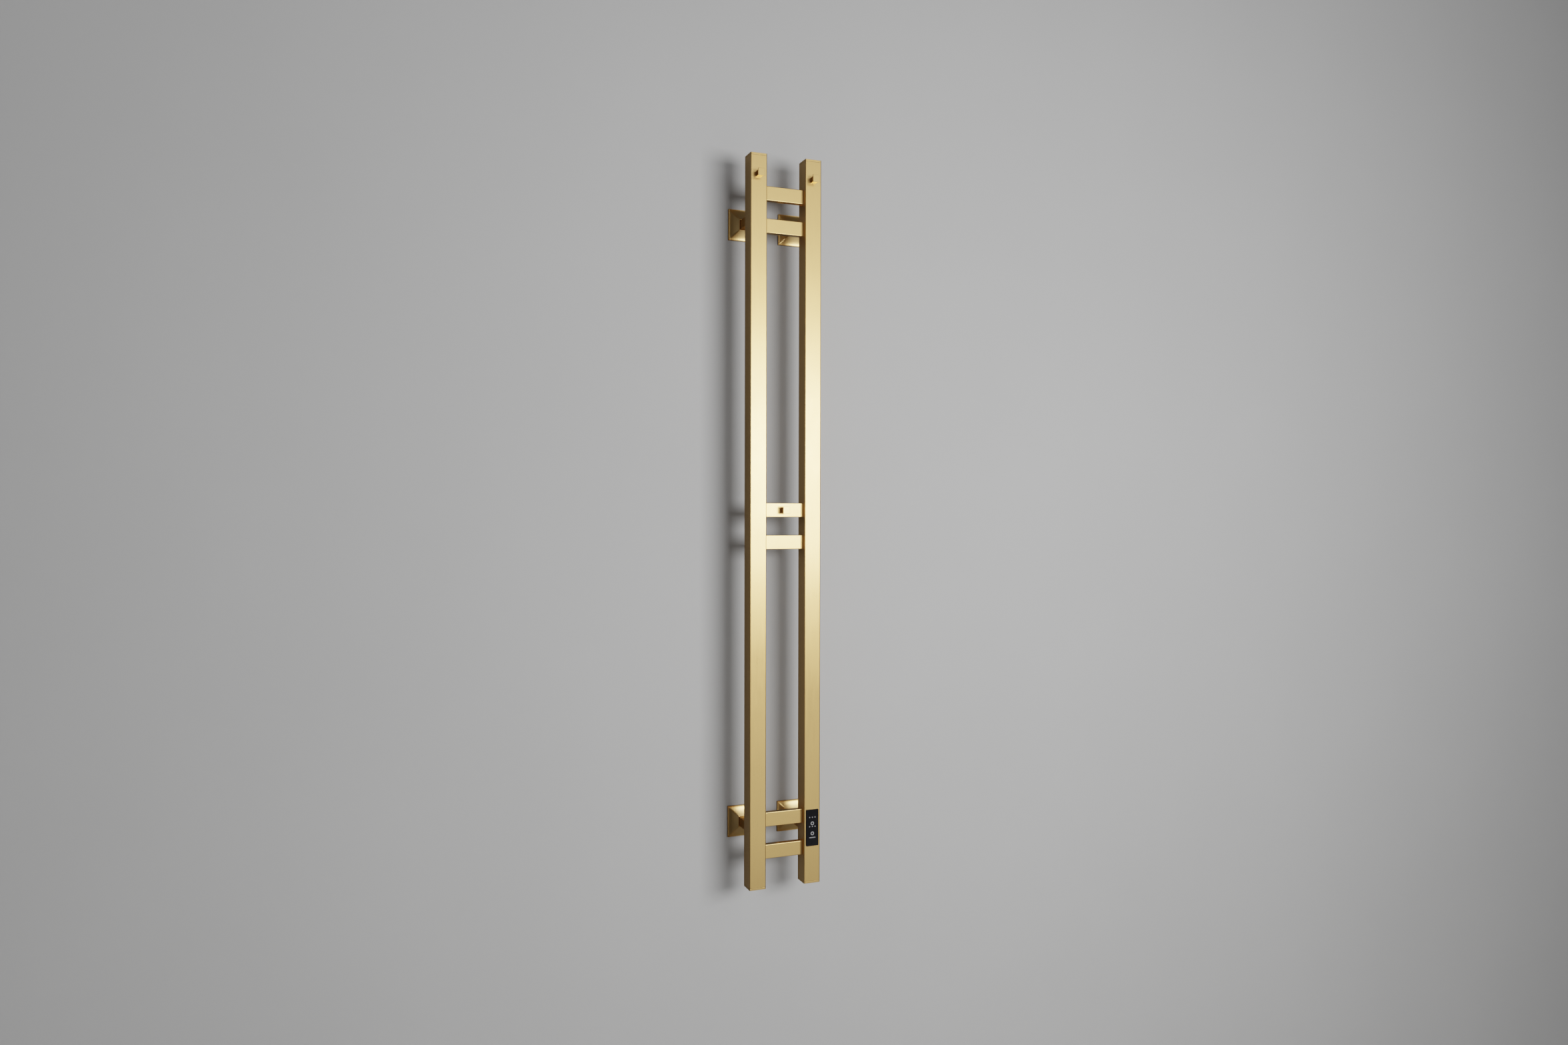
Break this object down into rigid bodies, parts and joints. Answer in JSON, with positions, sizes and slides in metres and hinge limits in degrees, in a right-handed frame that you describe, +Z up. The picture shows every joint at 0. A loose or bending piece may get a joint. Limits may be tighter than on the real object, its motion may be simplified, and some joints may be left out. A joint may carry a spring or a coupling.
{
  "type": "towel warmer rack",
  "caption": "Narrow wall-hung electric towel warmer: square rails joined by flat rungs, with square hooks, a touch panel and pyramid wall rosettes.",
  "frame": {"origin": "on the wall plane, midway between the two rails and at half their height", "axes": "+X to the right as seen from the room, +Y into the wall, +Z up"},
  "size_m": [0.1424, 0.1005, 1.2],
  "materials": {
    "brushed_gold": "fine brushed, brass-coloured coating on steel tube",
    "fastener_steel": "plain bright steel",
    "anchor_zinc": "zinc-plated, slightly grainy",
    "panel_glass": "black, polished, opaque",
    "housing_plastic": "moulded black plastic",
    "board": "green circuit board",
    "light_plastic": "clear light guide",
    "white_plastic": "moulded white plastic",
    "relay_plastic": "moulded blue plastic",
    "spring_wire": "copper-plated spring wire",
    "silicone": "red silicone sheath",
    "black_rubber": "soft black rubber"
  },
  "bodies": {
    "rack": {"control_board": "board", "control_housing": "housing_plastic", "earth_stud": "fastener_steel", "heating_cable": "silicone", "lead_grommet": "black_rubber", "lead_nipple": "fastener_steel", "left_bottom_anchor": "anchor_zinc", "left_bottom_cap": "brushed_gold", "left_bottom_grub_screw": "fastener_steel", "left_bottom_post": "brushed_gold", "left_bottom_post_screw": "fastener_steel", "left_hook": "brushed_gold", "left_hook_stud": "fastener_steel", "left_rail": "brushed_gold", "left_top_anchor": "anchor_zinc", "left_top_cap": "brushed_gold", "left_top_grub_screw": "fastener_steel", "left_top_post": "brushed_gold", "left_top_post_screw": "fastener_steel", "light_guide": "light_plastic", "lower_led_strip": "white_plastic", "middle_hook": "brushed_gold", "middle_hook_stud": "fastener_steel", "panel_glass": "panel_glass", "power_touch_spring": "spring_wire", "relay": "relay_plastic", "right_bottom_anchor": "anchor_zinc", "right_bottom_cap": "brushed_gold", "right_bottom_grub_screw": "fastener_steel", "right_bottom_post": "brushed_gold", "right_hook": "brushed_gold", "right_hook_stud": "fastener_steel", "right_rail": "brushed_gold", "right_top_anchor": "anchor_zinc", "right_top_cap": "brushed_gold", "right_top_grub_screw": "fastener_steel", "right_top_post": "brushed_gold", "right_top_post_screw": "fastener_steel", "rung_1": "brushed_gold", "rung_2": "brushed_gold", "rung_3": "brushed_gold", "rung_4": "brushed_gold", "rung_5": "brushed_gold", "rung_6": "brushed_gold", "temperature_probe": "black_rubber", "terminal_block": "white_plastic", "thermal_cutout": "fastener_steel", "timer_touch_spring": "spring_wire", "upper_led_strip": "white_plastic"},
    "left_top_rosette": {"left_top_cover": "brushed_gold"},
    "left_bottom_rosette": {"left_bottom_cover": "brushed_gold"},
    "right_top_rosette": {"right_top_cover": "brushed_gold"},
    "right_bottom_rosette": {"right_bottom_cover": "brushed_gold"}
  },
  "joints": [
    {"name": "left_top_rosette_slide", "type": "slide", "parent": "rack", "child": "left_top_rosette", "axis": [0, -1, 0], "range_m": [0, 0.035]},
    {"name": "left_bottom_rosette_slide", "type": "slide", "parent": "rack", "child": "left_bottom_rosette", "axis": [0, -1, 0], "range_m": [0, 0.035]},
    {"name": "right_top_rosette_slide", "type": "slide", "parent": "rack", "child": "right_top_rosette", "axis": [0, -1, 0], "range_m": [0, 0.035]},
    {"name": "right_bottom_rosette_slide", "type": "slide", "parent": "rack", "child": "right_bottom_rosette", "axis": [0, -1, 0], "range_m": [0, 0.035]}
  ]
}
